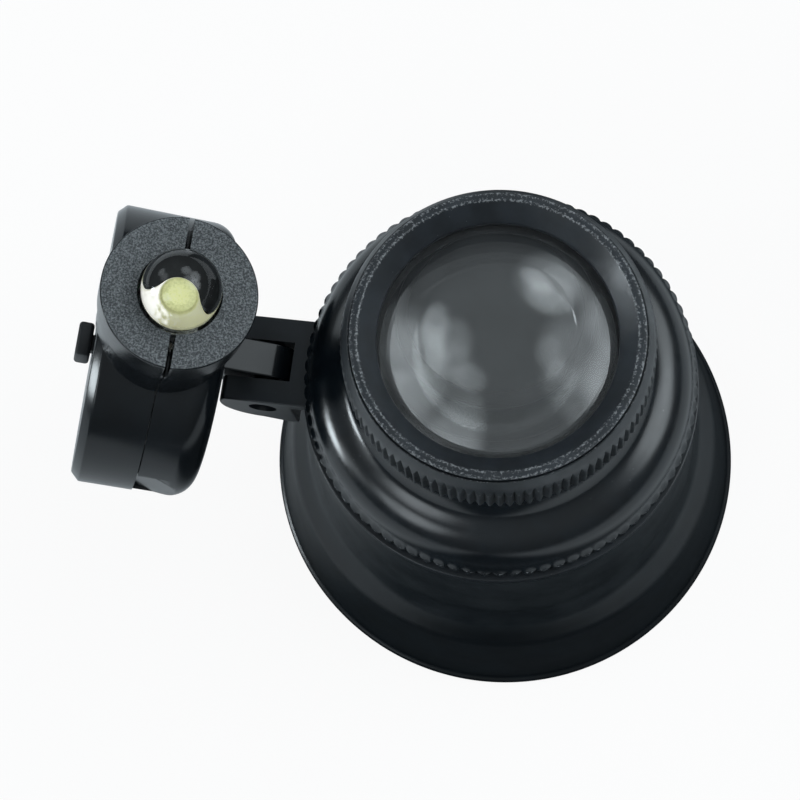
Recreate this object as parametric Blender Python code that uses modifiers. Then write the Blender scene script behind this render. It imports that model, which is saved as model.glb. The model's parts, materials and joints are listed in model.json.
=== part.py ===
"""Single-eye jeweller's loupe with a tilting coin-cell lamp on a swivel bracket.

World frame: the origin is under the middle of the whole object, in the plane of the eye
cup's rim. +Z runs up to the front lens, and the lamp bracket reaches out along -X.
The loupe has its own frame, whose Z is the optical axis, a little way along +X of the world's.
The lamp has a third frame: its origin is the centre of the round battery housing, its Z is
the lamp's axis, its Y is the world's Y, and its X points from the housing to the loupe.
Sizes are in millimetres and become metres as each mesh is made.
"""

import math

import bmesh
import bpy
from mathutils import Matrix, Vector

MM = 0.001
FULL_TURN = 2.0 * math.pi

# Clearances
REST_GAP = 0.15          # between pieces that rest on each other
PIN_GAP = 0.07           # radial, between the hinge pin and its holes
SPLIT_GAP = 0.3          # the slit between the two halves of the lamp housing

# Eye cup
CUP_RIM_RADIUS = 19.64
CUP_WALL = 1.45
CUP_TOP_RADIUS = 13.9
CUP_TOP_Z = 24.6
CUP_NECK_RADIUS = 11.3
CUP_NECK_BORE = 9.9
CUP_NECK_TOP_Z = 29.0
CUP_STEPS = 64

# Bracket ring and clevis
RING_RADIUS = 14.0
RING_BORE = CUP_NECK_RADIUS + 0.2
RING_BOTTOM_Z = CUP_TOP_Z + REST_GAP
RING_TOP_Z = RING_BOTTOM_Z + 1.3
ARM_HALF_WIDTH = 3.2
SLOT_HALF_WIDTH = 1.45
SLOT_BACK_X = -14.95
ARM_ROOT_X = -14.75      # clears the side of the eye cup
ARM_BOTTOM_Z = 20.3
ARM_NOSE_RADIUS = 3.15
PIVOT_X = -16.95
PIVOT_Z = 24.3
PIN_RADIUS = 0.95
PIN_HALF_LENGTH = 2.6

# Clamp ring
CLAMP_BOTTOM_Z = RING_TOP_Z + 0.2
CLAMP_TOP_Z = 34.4
COLLAR_RADIUS = 9.6
COLLAR_BORE = 8.95
CLAMP_TIP_RADIUS = 13.75
CLAMP_TEETH = 84
CLAMP_TOOTH_DEPTH = 0.32

# Lens barrel
BARREL_RADIUS = 10.2     # at the foot of the tapering knurl
BARREL_KNURL_TOP_RADIUS = 10.05
BARREL_SHOULDER_RADIUS = 9.9
BARREL_SHOULDER_Z = 38.3
BARREL_TUBE_RADIUS = 8.8
BARREL_BORE = 8.1
BARREL_BOTTOM_Z = 28.7
BARREL_BAND_Z = CLAMP_TOP_Z + 0.3
BARREL_TOP_Z = 39.0
BARREL_RIDGES = 100
BARREL_RIDGE_DEPTH = 0.28
BARREL_KNURL_TOP_Z = 37.6
SEAT_RADIUS = 9.4
SEAT_Z = 37.55
SEAT_EDGE = 0.1          # width of the barrel's top face

# Optics
LENS_RADIUS = 7.97
LENS_CURVE_RADIUS = 20.0
LENS_EDGE = 1.3
FRONT_APEX_Z = 38.95
LENS_AIR_GAP = 0.33
FRONT_RIM_RADIUS = 9.25
FRONT_RIM_INNER = 8.6
FRONT_RIM_Z = 39.35
CLEAR_RADIUS = 7.6
CLEAR_EDGE = 0.4         # height of the short bore below the rim's inner cone
REAR_CLEAR_RADIUS = 7.0
SPACER_BORE = 7.2
LENS_STEPS = 40

# Lamp housing
LAMP_TILT_DEG = 18.5
DRUM_RADIUS = 10.2
DRUM_OUTER = 4.5         # from the split plane to the outer face
DRUM_INNER = 4.35        # from the split plane to the face towards the loupe
DRUM_CHAMFER = 0.6
DRUM_ROUNDING = 1.9
POCKET_RADIUS = 8.4
POCKET_OUTER = 3.35
POCKET_INNER = 3.6
NECK_RADIUS = 4.75
NECK_BORE = 3.1
COLLAR_HEIGHT = 3.5
HEAD_RADIUS = 4.95
HEAD_TOP = 17.5          # the lamp's face, from the centre of the drum
HEAD_BEVEL = 0.12
LAMP_HOLE_RADIUS = 2.68
PIVOT_IN_LAMP_X = DRUM_INNER + 3.74
PIVOT_IN_LAMP_Z = 2.44
TONGUE_RADIUS = 1.9
TONGUE_HALF_WIDTH = 1.25
NOTCH_DEPTH = 0.8
NOTCH_LENGTH = 3.4
NOTCH_HALF_WIDTH = 3.0
NOTCH_MIDDLE = 0.1       # lamp Z of the notch's middle

# Lamp contents
LED_RADIUS = 2.5
LED_FLANGE_RADIUS = 2.9
LED_FLANGE_HEIGHT = 1.0
LED_FLANGE_BOTTOM = HEAD_TOP - 5.1
LED_STRAIGHT_TOP = HEAD_TOP + 0.9
LED_POCKET_RADIUS = 1.6
LED_POCKET_TOP = HEAD_TOP + 0.25
EMITTER_RADIUS = 1.4
EMITTER_HEIGHT = 3.0
LEAD_RADIUS = 0.22
LEAD_SPACING = 2.54
CELL_RADIUS = 8.0
CELL_THICKNESS = 2.0
CELL_INNER_FACE = 3.1    # lamp X of the cell face next to the negative contact
BOARD_RADIUS = 7.9
BOARD_NEAR = 1.5         # distances outward of the split plane
BOARD_FAR = 2.0
CONTACT_THICKNESS = 0.2
SWITCH_HALF_LENGTH = 3.0
SWITCH_HALF_WIDTH = 2.0
KNOB_HALF_WIDTH = 1.25
KNOB_HALF_LENGTH = 1.6
KNOB_HEIGHT = 1.1
KNOB_TRAVEL = 2.0
KNOB_BEVEL = 0.3
STEM_HALF_WIDTH = 0.6
STEM_HALF_LENGTH = 0.5


def clear_scene():
    for old in list(bpy.data.objects):
        bpy.data.objects.remove(old, do_unlink=True)


def new_collection(name):
    group = bpy.data.collections.new(name)
    bpy.context.scene.collection.children.link(group)
    return group


def principled(name, colour, roughness, metallic=0.0, transmission=0.0):
    """A Principled material of one finish."""
    material = bpy.data.materials.new(name)
    material.use_nodes = True
    shader = material.node_tree.nodes["Principled BSDF"]
    shader.inputs["Base Color"].default_value = (*colour, 1.0)
    shader.inputs["Roughness"].default_value = roughness
    shader.inputs["Metallic"].default_value = metallic
    shader.inputs["Transmission Weight"].default_value = transmission
    return material


def add_object(name, mesh, group, parent=None, location=(0.0, 0.0, 0.0)):
    """Links a mesh as a named object. Its location is in millimetres, under its parent."""
    piece = bpy.data.objects.new(name, mesh)
    group.objects.link(piece)
    piece.parent = parent
    piece.location = Vector(location) * MM
    return piece


def finish(piece, material, sharp_deg=30.0):
    """Gives a visible piece its material and smooth shading with sharp edges."""
    piece.data.materials.append(material)
    piece.data.shade_smooth()
    piece.data.set_sharp_from_angle(angle=math.radians(sharp_deg))
    return piece


def make_cutter(piece):
    """Marks a helper that only cuts or joins other pieces."""
    piece.hide_render = True
    piece.display_type = "WIRE"
    return piece


def add_axis(name, group, parent, location, tilt_deg=0.0):
    """An empty on a joint's axis, turned about Y."""
    axis = bpy.data.objects.new(name, None)
    group.objects.link(axis)
    axis.parent = parent
    axis.location = Vector(location) * MM
    axis.rotation_euler = (0.0, math.radians(tilt_deg), 0.0)
    return axis


def boolean(piece, operation, other):
    modifier = piece.modifiers.new(operation.lower() + "_" + other.name, "BOOLEAN")
    modifier.operation = operation
    modifier.object = other
    return modifier


def arc(centre, radius, start_deg, end_deg, count):
    """Points along an arc, both ends included."""
    span = end_deg - start_deg
    angles = [math.radians(start_deg + span * i / count) for i in range(count + 1)]
    return [(centre[0] + radius * math.cos(a), centre[1] + radius * math.sin(a)) for a in angles]


def turned_mesh(name, profile, closed):
    """A profile of (radius, height) points in the XZ plane, for a Screw modifier."""
    mesh = bpy.data.meshes.new(name)
    points = [(radius * MM, 0.0, height * MM) for radius, height in profile]
    edges = [(i, i + 1) for i in range(len(points) - 1)]
    if closed:
        edges.append((len(points) - 1, 0))
    mesh.from_pydata(points, edges, [])
    return mesh


def turned(name, profile, group, steps, closed=True, parent=None, location=(0.0, 0.0, 0.0)):
    """A turned piece: the profile runs down its outer side, then back up its bore."""
    piece = add_object(name, turned_mesh(name, profile, closed), group, parent, location)
    screw = piece.modifiers.new("turn", "SCREW")
    screw.axis = "Z"
    screw.angle = FULL_TURN
    screw.steps = steps
    screw.render_steps = steps
    screw.use_merge_vertices = True
    screw.merge_threshold = 0.00001
    screw.use_smooth_shade = True
    return piece


def knurled(name, profile, group, ridges, band, depth):
    """A turned piece whose outer points between two heights form straight V ridges.

    Away from the ridges, only every second column of the turning is kept.
    """
    steps = 2 * ridges
    work = bmesh.new()
    rows = [work.verts.new((radius * MM, 0.0, height * MM)) for radius, height in profile]
    edges = [work.edges.new((rows[i], rows[(i + 1) % len(rows)])) for i in range(len(rows))]
    bmesh.ops.spin(
        work, geom=rows + edges, cent=(0, 0, 0), axis=(0, 0, 1), angle=FULL_TURN, steps=steps,
        use_merge=True,
    )
    bmesh.ops.remove_doubles(work, verts=work.verts, dist=0.000001)
    inmost = max(radius for radius, _ in profile) - 2.0 * depth
    grid = {}
    for vert in work.verts:
        radius = math.hypot(vert.co.x, vert.co.y) / MM
        step = round(math.atan2(vert.co.y, vert.co.x) / FULL_TURN * steps) % steps
        grid[(round(radius, 3), round(vert.co.z / MM, 3), step)] = vert
    spare = {}
    for (radius, height, step), vert in grid.items():
        in_band = band[0] < height < band[1] and radius > inmost
        if step % 2 and in_band:
            vert.co.x *= (radius - depth) / radius
            vert.co.y *= (radius - depth) / radius
        elif step % 2:
            spare[vert] = grid[(radius, height, step - 1)]
    bmesh.ops.weld_verts(work, targetmap=spare)
    bmesh.ops.recalc_face_normals(work, faces=work.faces)
    mesh = bpy.data.meshes.new(name)
    work.to_mesh(mesh)
    work.free()
    return add_object(name, mesh, group)


def block(name, low, high, group, parent=None, location=(0.0, 0.0, 0.0)):
    """A box between two corners."""
    size = [(high[i] - low[i]) * MM for i in range(3)]
    centre = [(high[i] + low[i]) * MM / 2.0 for i in range(3)]
    work = bmesh.new()
    place = Matrix.Translation(centre) @ Matrix.Diagonal((*size, 1.0))
    bmesh.ops.create_cube(work, size=1.0, matrix=place)
    mesh = bpy.data.meshes.new(name)
    work.to_mesh(mesh)
    work.free()
    return add_object(name, mesh, group, parent, location)


def round_bar(name, radius, start, end, axis, group, segments=32, parent=None, location=(0, 0, 0)):
    """A cylinder from start to end along X, Y or Z, centred on its own origin."""
    turn = {"X": Matrix.Rotation(math.pi / 2, 4, "Y"), "Y": Matrix.Rotation(-math.pi / 2, 4, "X")}
    along = turn.get(axis, Matrix.Identity(4))
    middle = Matrix.Translation((0.0, 0.0, (start + end) * MM / 2.0))
    work = bmesh.new()
    bmesh.ops.create_cone(
        work, cap_ends=True, segments=segments, radius1=radius * MM, radius2=radius * MM,
        depth=(end - start) * MM, matrix=along @ middle,
    )
    mesh = bpy.data.meshes.new(name)
    work.to_mesh(mesh)
    work.free()
    return add_object(name, mesh, group, parent, location)


def mesh_from_curve(name, curve, group, matrix):
    """Turns a curve into a closed mesh piece, baking in the matrix that places it."""
    source = bpy.data.objects.new(name + "_curve", curve)
    group.objects.link(source)
    bpy.context.view_layer.update()
    evaluated = source.evaluated_get(bpy.context.evaluated_depsgraph_get())
    mesh = bpy.data.meshes.new_from_object(evaluated)
    bpy.data.objects.remove(source, do_unlink=True)
    mesh.name = name
    mesh.transform(matrix)
    work = bmesh.new()
    work.from_mesh(mesh)
    bmesh.ops.remove_doubles(work, verts=work.verts, dist=0.000001)
    bmesh.ops.recalc_face_normals(work, faces=work.faces)
    work.to_mesh(mesh)
    work.free()
    return mesh


def slab_mesh(name, outline, half_thickness, group, matrix):
    """A flat outline of (x, y) points with a thickness, placed by a matrix."""
    curve = bpy.data.curves.new(name, "CURVE")
    curve.dimensions = "2D"
    curve.fill_mode = "BOTH"
    curve.extrude = half_thickness * MM
    spline = curve.splines.new("POLY")
    spline.points.add(len(outline) - 1)
    for point, (x, y) in zip(spline.points, outline):
        point.co = (x * MM, y * MM, 0.0, 1.0)
    spline.use_cyclic_u = True
    return mesh_from_curve(name, curve, group, matrix)


def wire_mesh(name, path, radius, group):
    """A round wire along a path of corner points."""
    curve = bpy.data.curves.new(name, "CURVE")
    curve.dimensions = "3D"
    curve.bevel_depth = radius * MM
    curve.bevel_resolution = 2
    curve.use_fill_caps = True
    spline = curve.splines.new("POLY")
    spline.points.add(len(path) - 1)
    for point, corner in zip(spline.points, path):
        point.co = (*(Vector(corner) * MM), 1.0)
    return mesh_from_curve(name, curve, group, Matrix.Identity(4))


def sag(radius):
    """How far a lens face has fallen away at this distance from its axis."""
    return LENS_CURVE_RADIUS - math.sqrt(LENS_CURVE_RADIUS**2 - radius**2)


def build_eye_cup(group):
    """The hollow cone that sits in the eye socket, with the threaded neck above it."""
    outer = [
        (CUP_NECK_RADIUS, CUP_NECK_TOP_Z), (CUP_NECK_RADIUS, CUP_TOP_Z),
        (CUP_TOP_RADIUS - 0.25, CUP_TOP_Z), (CUP_TOP_RADIUS, CUP_TOP_Z - 0.3),
        (14.5, 18.3), (14.95, 14.0), (15.5, 11.7), (16.2, 10.5), (17.2, 9.4), (18.3, 5.0),
        (19.15, 1.35), (19.5, 1.1), (CUP_RIM_RADIUS, 0.6), (CUP_RIM_RADIUS - 0.15, 0.0),
    ]
    inner = [
        (CUP_RIM_RADIUS - CUP_WALL, 0.0), (16.9, 5.0), (15.8, 9.2), (14.4, 10.7), (13.6, 13.6),
        (13.05, 18.3), (12.45, 23.0), (CUP_NECK_BORE, 23.2), (CUP_NECK_BORE, CUP_NECK_TOP_Z),
    ]
    cup = turned("eye_cup", outer + inner, group, CUP_STEPS)
    finish(cup, principled("cup_plastic", (0.012, 0.012, 0.014), 0.38))


def build_clamp_ring(group):
    """The domed ring that screws down over the cup's neck and traps the bracket ring."""
    shoulder = arc((10.35, 28.05), 2.95, 72.0, 8.0, 4)
    outer = [(COLLAR_RADIUS, CLAMP_TOP_Z), (COLLAR_RADIUS, 33.2), (9.85, 32.2), (10.4, 31.3)]
    outer += shoulder
    outer += [
        (CLAMP_TIP_RADIUS - 0.3, 28.0), (CLAMP_TIP_RADIUS, 27.7),
        (CLAMP_TIP_RADIUS, CLAMP_BOTTOM_Z + 0.25), (CLAMP_TIP_RADIUS - 0.4, CLAMP_BOTTOM_Z),
    ]
    bore = CUP_NECK_RADIUS + REST_GAP
    web_z = CUP_NECK_TOP_Z + 0.2
    inner = [(bore, CLAMP_BOTTOM_Z), (bore, web_z), (COLLAR_BORE, web_z), (COLLAR_BORE, CLAMP_TOP_Z)]
    band = (CLAMP_BOTTOM_Z + 0.1, 27.9)
    ring = knurled("clamp_ring", outer + inner, group, CLAMP_TEETH, band, CLAMP_TOOTH_DEPTH)
    finish(ring, principled("clamp_metal", (0.014, 0.014, 0.016), 0.28))


def build_lens_barrel(group):
    """The tube that holds the optics: a smooth sloping shoulder over a tapering knurl."""
    knurl_top = BARREL_KNURL_TOP_Z
    knurl_bottom = BARREL_BAND_Z + 0.15
    outer = [
        (SEAT_RADIUS + SEAT_EDGE, BARREL_TOP_Z), (BARREL_SHOULDER_RADIUS, BARREL_SHOULDER_Z),
        (BARREL_KNURL_TOP_RADIUS, knurl_top), (BARREL_RADIUS, knurl_bottom),
        (BARREL_RADIUS - 0.35, BARREL_BAND_Z), (BARREL_TUBE_RADIUS, BARREL_BAND_Z),
        (BARREL_TUBE_RADIUS, BARREL_BOTTOM_Z),
    ]
    inner = [
        (BARREL_BORE, BARREL_BOTTOM_Z), (BARREL_BORE, SEAT_Z), (SEAT_RADIUS, SEAT_Z),
        (SEAT_RADIUS, BARREL_TOP_Z),
    ]
    band = (knurl_bottom - 0.1, knurl_top + 0.1)
    barrel = knurled("lens_barrel", outer + inner, group, BARREL_RIDGES, band, BARREL_RIDGE_DEPTH)
    finish(barrel, principled("barrel_metal", (0.016, 0.017, 0.019), 0.34, 0.4))


def build_lens(name, apex_z, group):
    """A lens with two equal convex faces and a ground edge. Returns its lower apex height."""
    edge_top = apex_z - sag(LENS_RADIUS)
    edge_bottom = edge_top - LENS_EDGE
    low_apex = edge_bottom - sag(LENS_RADIUS)
    radii = [LENS_RADIUS * i / 4 for i in range(5)]
    upper = [(radius, apex_z - sag(radius)) for radius in radii]
    lower = [(radius, low_apex + sag(radius)) for radius in reversed(radii)]
    lens = turned(name, upper + lower, group, LENS_STEPS, closed=False)
    finish(lens, principled(name + "_glass", (0.92, 0.94, 0.95), 0.02, 0.0, 1.0))
    return low_apex


def build_optics(group):
    """Both lenses, the tube between them and the two rings that retain them."""
    black = principled("ring_metal", (0.015, 0.015, 0.017), 0.42, 0.3)
    front_low_apex = build_lens("front_lens", FRONT_APEX_Z, group)
    rear_apex = front_low_apex - LENS_AIR_GAP
    rear_low_apex = build_lens("rear_lens", rear_apex, group)

    seat_under = SEAT_Z + REST_GAP
    rim = [
        (FRONT_RIM_RADIUS - 0.12, FRONT_RIM_Z), (FRONT_RIM_RADIUS, FRONT_RIM_Z - 0.15),
        (FRONT_RIM_RADIUS, seat_under), (CLEAR_RADIUS, seat_under),
        (CLEAR_RADIUS, seat_under + CLEAR_EDGE), (FRONT_RIM_INNER, FRONT_RIM_Z - 0.1),
        (FRONT_RIM_INNER + 0.1, FRONT_RIM_Z),
    ]
    finish(turned("front_retaining_ring", rim, group, 56), black)

    spacer_top = front_low_apex + sag(SPACER_BORE) - REST_GAP
    spacer_bottom = rear_apex - sag(SPACER_BORE) + REST_GAP
    spacer = [
        (LENS_RADIUS, spacer_top), (LENS_RADIUS, spacer_bottom),
        (SPACER_BORE, spacer_bottom), (SPACER_BORE, spacer_top),
    ]
    spacer_black = principled("spacer_metal", (0.02, 0.02, 0.02), 0.7)
    finish(turned("lens_spacer", spacer, group, LENS_STEPS), spacer_black)

    ring_top = rear_low_apex + sag(REAR_CLEAR_RADIUS) - REST_GAP
    ring_bottom = BARREL_BOTTOM_Z + 0.1
    rear = [
        (LENS_RADIUS, ring_top), (LENS_RADIUS, ring_bottom),
        (REAR_CLEAR_RADIUS + 0.4, ring_bottom), (REAR_CLEAR_RADIUS, ring_top),
    ]
    rear_black = principled("rear_ring_metal", (0.015, 0.015, 0.017), 0.5, 0.3)
    finish(turned("rear_retaining_ring", rear, group, LENS_STEPS), rear_black)


def build_bracket(group, cutters, swivel):
    """The thin ring trapped under the clamp ring, with the forked arm that carries the lamp."""
    ring = [
        (RING_RADIUS, RING_TOP_Z), (RING_RADIUS, RING_BOTTOM_Z),
        (RING_BORE, RING_BOTTOM_Z), (RING_BORE, RING_TOP_Z),
    ]
    bracket = turned("bracket_arm", ring, group, 64, parent=swivel)

    start_deg = 180.0 - math.degrees(math.asin((RING_TOP_Z - PIVOT_Z) / ARM_NOSE_RADIUS))
    nose = arc((PIVOT_X, PIVOT_Z), ARM_NOSE_RADIUS, start_deg, 262.0, 10)
    root_x = -(RING_RADIUS + RING_BORE) / 2.0
    outline = [(root_x, RING_BOTTOM_Z), (root_x, RING_TOP_Z)] + nose
    outline += [(ARM_ROOT_X - 0.7, ARM_BOTTOM_Z), (ARM_ROOT_X, ARM_BOTTOM_Z + 0.25)]
    outline += [(ARM_ROOT_X, RING_BOTTOM_Z)]
    upright = Matrix.Rotation(math.pi / 2, 4, "X")
    arm_mesh = slab_mesh("arm_slab", outline, ARM_HALF_WIDTH, cutters, upright)
    arm = make_cutter(add_object("arm_slab", arm_mesh, cutters, swivel))
    slot_low = (PIVOT_X - 5.0, -SLOT_HALF_WIDTH, ARM_BOTTOM_Z - 1.0)
    slot_high = (SLOT_BACK_X, SLOT_HALF_WIDTH, RING_TOP_Z + 1.0)
    slot = make_cutter(block("arm_slot", slot_low, slot_high, cutters, swivel))
    hole_radius = PIN_RADIUS + PIN_GAP
    pivot = (PIVOT_X, 0.0, PIVOT_Z)
    hole = round_bar("arm_pin_hole", hole_radius, -5.0, 5.0, "Y", cutters, 32, swivel, pivot)
    boolean(bracket, "UNION", arm)
    boolean(bracket, "DIFFERENCE", slot)
    boolean(bracket, "DIFFERENCE", make_cutter(hole))
    finish(bracket, principled("bracket_plastic", (0.02, 0.02, 0.023), 0.33))

    pin = round_bar(
        "hinge_pin", PIN_RADIUS, -PIN_HALF_LENGTH, PIN_HALF_LENGTH, "Y", group, 32, swivel, pivot
    )
    finish(pin, principled("pin_steel", (0.08, 0.08, 0.08), 0.35, 1.0))


def lamp_envelope(side, cutters, drum_centre, tilt):
    """The closed outside of the whole lamp housing: head, neck and round drum as one body."""
    head = [
        (0.0, HEAD_TOP), (HEAD_RADIUS - HEAD_BEVEL, HEAD_TOP), (HEAD_RADIUS, HEAD_TOP - HEAD_BEVEL),
        (HEAD_RADIUS, HEAD_TOP - COLLAR_HEIGHT), (NECK_RADIUS, HEAD_TOP - COLLAR_HEIGHT),
        (NECK_RADIUS, DRUM_RADIUS - 4.0), (0.0, DRUM_RADIUS - 4.0),
    ]
    rounding = arc((DRUM_RADIUS - DRUM_ROUNDING, DRUM_INNER - DRUM_ROUNDING), DRUM_ROUNDING, 90.0, 0.0, 4)
    drum = [(0.0, DRUM_INNER)] + rounding
    drum += [
        (DRUM_RADIUS, -DRUM_OUTER + DRUM_CHAMFER), (DRUM_RADIUS - DRUM_CHAMFER, -DRUM_OUTER),
        (0.0, -DRUM_OUTER),
    ]
    drum_body = turned("drum_" + side, drum, cutters, 56, closed=False, parent=tilt, location=drum_centre)
    drum_body.rotation_euler = (0.0, math.pi / 2, 0.0)
    return head, make_cutter(drum_body)


def lamp_shell(side, keep, group, cutters, drum_centre, tilt, parent):
    """One half of the lamp housing, hollowed for the cells, the lamp and its leads."""
    head, drum_body = lamp_envelope(side, cutters, drum_centre, tilt)
    shell = turned(
        "lamp_" + side + "_shell", head, group, 48, closed=False, parent=parent, location=drum_centre
    )
    pocket = round_bar(
        "pocket_" + side, POCKET_RADIUS, -POCKET_OUTER, POCKET_INNER, "X", cutters, 56, tilt, drum_centre
    )
    flange_top = LED_FLANGE_BOTTOM + LED_FLANGE_HEIGHT + REST_GAP
    bore = [
        (0.0, HEAD_TOP + 2.0), (LAMP_HOLE_RADIUS, HEAD_TOP + 2.0), (LAMP_HOLE_RADIUS, flange_top),
        (NECK_BORE, flange_top), (NECK_BORE, 5.0), (0.0, 5.0),
    ]
    bore_body = turned("bore_" + side, bore, cutters, 40, closed=False, parent=tilt, location=drum_centre)
    far = 25.0
    away = (-SPLIT_GAP / 2, far) if keep == "outer" else (-far, SPLIT_GAP / 2)
    half = block("half_" + side, (away[0], -far, -far), (away[1], far, far), cutters, tilt, drum_centre)
    boolean(shell, "UNION", drum_body)
    boolean(shell, "DIFFERENCE", make_cutter(pocket))
    boolean(shell, "DIFFERENCE", make_cutter(bore_body))
    boolean(shell, "DIFFERENCE", make_cutter(half))
    return shell


def build_inner_shell(group, cutters, drum_centre, tilt):
    """The half next to the loupe, with the hinge tongue and the notch for prying it open."""
    shell = lamp_shell("inner", "inner", group, cutters, drum_centre, tilt, tilt)
    end = arc((PIVOT_IN_LAMP_X, PIVOT_IN_LAMP_Z), TONGUE_RADIUS, 90.0, -90.0, 10)
    root = DRUM_INNER - 0.4
    outline = [(root, PIVOT_IN_LAMP_Z - TONGUE_RADIUS), (root, PIVOT_IN_LAMP_Z + TONGUE_RADIUS)] + end
    upright = Matrix.Rotation(math.pi / 2, 4, "X")
    tongue_mesh = slab_mesh("tongue_slab", outline, TONGUE_HALF_WIDTH, cutters, upright)
    tongue = make_cutter(add_object("tongue_slab", tongue_mesh, cutters, tilt, drum_centre))
    hole = round_bar("tongue_pin_hole", PIN_RADIUS + PIN_GAP, -5.0, 5.0, "Y", cutters, 32, tilt)
    notch_outline = [
        (0.0, -DRUM_RADIUS - 1.0), (NOTCH_LENGTH, -DRUM_RADIUS - 1.0),
        (NOTCH_LENGTH, -DRUM_RADIUS), (0.0, -DRUM_RADIUS + NOTCH_DEPTH),
    ]
    raised = Matrix.Translation((0.0, 0.0, NOTCH_MIDDLE * MM))
    notch_mesh = slab_mesh("pry_notch", notch_outline, NOTCH_HALF_WIDTH, cutters, raised)
    notch = add_object("pry_notch", notch_mesh, cutters, tilt, drum_centre)
    boolean(shell, "UNION", tongue)
    boolean(shell, "DIFFERENCE", make_cutter(hole))
    boolean(shell, "DIFFERENCE", make_cutter(notch))
    finish(shell, principled("inner_shell_plastic", (0.012, 0.012, 0.013), 0.2))


def build_outer_shell(group, cutters, drum_centre, tilt, cover):
    """The battery cover half, with the slot that the switch knob slides in."""
    shell = lamp_shell("outer", "outer", group, cutters, drum_centre, tilt, cover)
    stem = STEM_HALF_LENGTH + REST_GAP
    low = (-DRUM_OUTER - 1.0, -STEM_HALF_WIDTH - REST_GAP, -KNOB_TRAVEL / 2 - stem)
    high = (-POCKET_OUTER + 1.0, STEM_HALF_WIDTH + REST_GAP, KNOB_TRAVEL / 2 + stem)
    slot = block("switch_slot", low, high, cutters, tilt, drum_centre)
    boolean(shell, "DIFFERENCE", make_cutter(slot))
    finish(shell, principled("outer_shell_plastic", (0.012, 0.012, 0.013), 0.2))


def build_led(group, drum_centre, cover):
    """The 5 mm dome lamp: clear body, the emitter in its cup, and two leads down to the board."""
    dome = arc((0.0, LED_STRAIGHT_TOP), LED_RADIUS, 90.0, 0.0, 6)
    flange_top = LED_FLANGE_BOTTOM + LED_FLANGE_HEIGHT
    profile = dome + [
        (LED_RADIUS, flange_top), (LED_FLANGE_RADIUS, flange_top),
        (LED_FLANGE_RADIUS, LED_FLANGE_BOTTOM), (LED_POCKET_RADIUS, LED_FLANGE_BOTTOM),
        (LED_POCKET_RADIUS, LED_POCKET_TOP), (0.0, LED_POCKET_TOP),
    ]
    lens = turned("led_lens", profile, group, 28, closed=False, parent=cover, location=drum_centre)
    finish(lens, principled("led_resin", (0.9, 0.93, 0.95), 0.03, 0.0, 1.0))

    emitter_top = LED_POCKET_TOP - REST_GAP
    emitter = [
        (0.0, emitter_top), (EMITTER_RADIUS - 0.3, emitter_top), (EMITTER_RADIUS, emitter_top - 0.3),
        (EMITTER_RADIUS, emitter_top - EMITTER_HEIGHT), (0.0, emitter_top - EMITTER_HEIGHT),
    ]
    chip = turned("led_emitter", emitter, group, 24, closed=False, parent=cover, location=drum_centre)
    finish(chip, principled("phosphor", (0.82, 0.84, 0.42), 0.5))

    lead_top = emitter_top - EMITTER_HEIGHT - REST_GAP
    over_board = -(BOARD_FAR + LEAD_RADIUS + 0.15)
    for name, side in (("led_lead_positive", 1), ("led_lead_negative", -1)):
        y = side * LEAD_SPACING / 2
        path = [(0, y, lead_top), (0, y, 11.6), (over_board, y, 9.2), (over_board, y, 6.4)]
        lead = add_object(name, wire_mesh(name, path, LEAD_RADIUS, group), group, cover, drum_centre)
        finish(lead, principled(name + "_steel", (0.55, 0.55, 0.52), 0.3, 1.0))


def build_circuit(group, cutters, drum_centre, cover):
    """The board with its resistor, switch and positive contact, all carried by the cover."""
    board = round_bar(
        "circuit_board", BOARD_RADIUS, -BOARD_FAR, -BOARD_NEAR, "X", group, 40, cover, drum_centre
    )
    finish(board, principled("board_green", (0.02, 0.12, 0.05), 0.4))

    face = -BOARD_FAR - 0.1
    resistor = block("resistor", (face - 0.45, -0.4, 4.6), (face, 0.4, 6.2), group, cover, drum_centre)
    finish(resistor, principled("resistor_ceramic", (0.03, 0.03, 0.035), 0.45))

    low = (-POCKET_OUTER + REST_GAP, -SWITCH_HALF_WIDTH, -SWITCH_HALF_LENGTH)
    high = (face, SWITCH_HALF_WIDTH, SWITCH_HALF_LENGTH)
    switch = block("switch_body", low, high, group, cover, drum_centre)
    finish(switch, principled("switch_metal", (0.6, 0.6, 0.6), 0.3, 1.0))

    near = -BOARD_NEAR + 0.1
    contact = contact_leaf("positive_contact", near + CONTACT_THICKNESS / 2, cutters)
    leaf = add_object("positive_contact", contact, group, cover, drum_centre)
    finish(leaf, principled("positive_nickel", (0.6, 0.58, 0.52), 0.28, 1.0))


def contact_leaf(name, lamp_x, cutters):
    """A round contact pad with a soldering tail, lying flat across the drum's axis."""
    pad = arc((0.0, 0.0), 3.2, 70.0, -250.0, 20)
    outline = [(-1.1, 5.6), (1.1, 5.6)] + pad
    place = Matrix.Translation((lamp_x * MM, 0.0, 0.0)) @ Matrix.Rotation(math.pi / 2, 4, "Z")
    place = place @ Matrix.Rotation(math.pi / 2, 4, "X")
    return slab_mesh(name, outline, CONTACT_THICKNESS / 2, cutters, place)


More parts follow.
